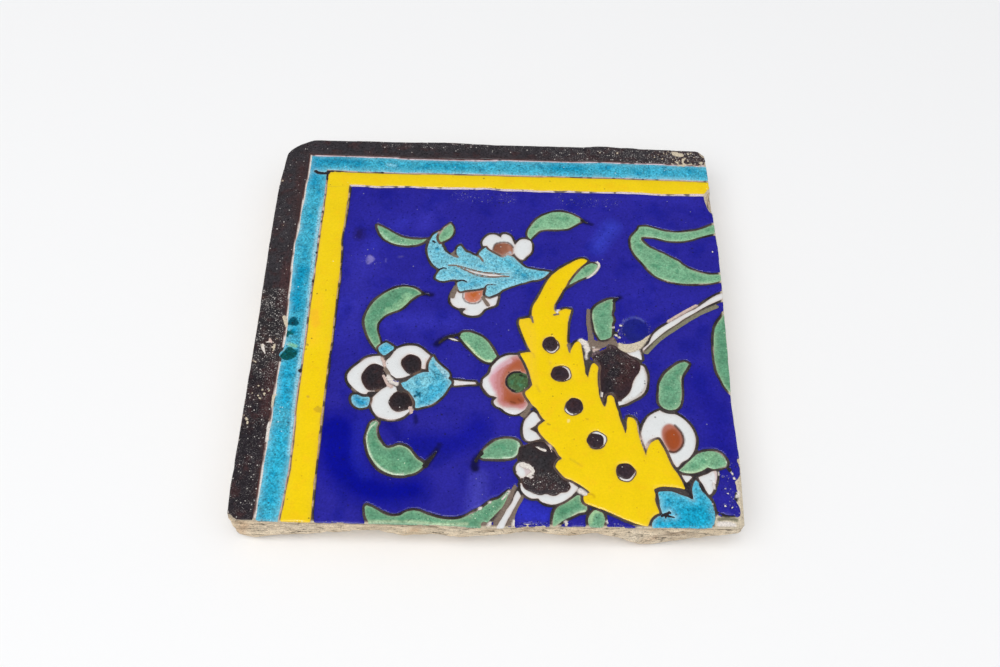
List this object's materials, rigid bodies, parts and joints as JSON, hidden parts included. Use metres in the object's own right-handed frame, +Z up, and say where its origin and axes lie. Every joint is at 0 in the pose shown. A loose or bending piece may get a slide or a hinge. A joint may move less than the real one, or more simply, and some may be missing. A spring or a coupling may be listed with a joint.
{
  "type": "ceramic wall tile",
  "caption": "Square glazed wall tile with a worn outline, raised glaze pools of leaves and blossoms, a banded border on two edges and broken clay sides, for setting in a wall or display.",
  "frame": {"origin": "on the flat underside, below the middle of the tile, with the tile lying on its back and the glaze up", "axes": "+Z up out of the glazed face, through the thickness; +X to the right of the picture, along the banded border of the upper edge; +Y away from the viewer, to that upper edge"},
  "size_m": [0.2334, 0.2334, 0.022],
  "materials": {
    "glazed_clay": "gloss",
    "clay": "matte",
    "resist_line": "matte",
    "cobalt_glaze": "gloss",
    "yellow_glaze": "gloss",
    "turquoise_glaze": "gloss",
    "green_glaze": "gloss",
    "white_glaze": "gloss",
    "black_glaze": "satin",
    "rust_glaze": "gloss"
  },
  "bodies": {
    "root": {"tile": "glazed_clay"}
  },
  "joints": []
}
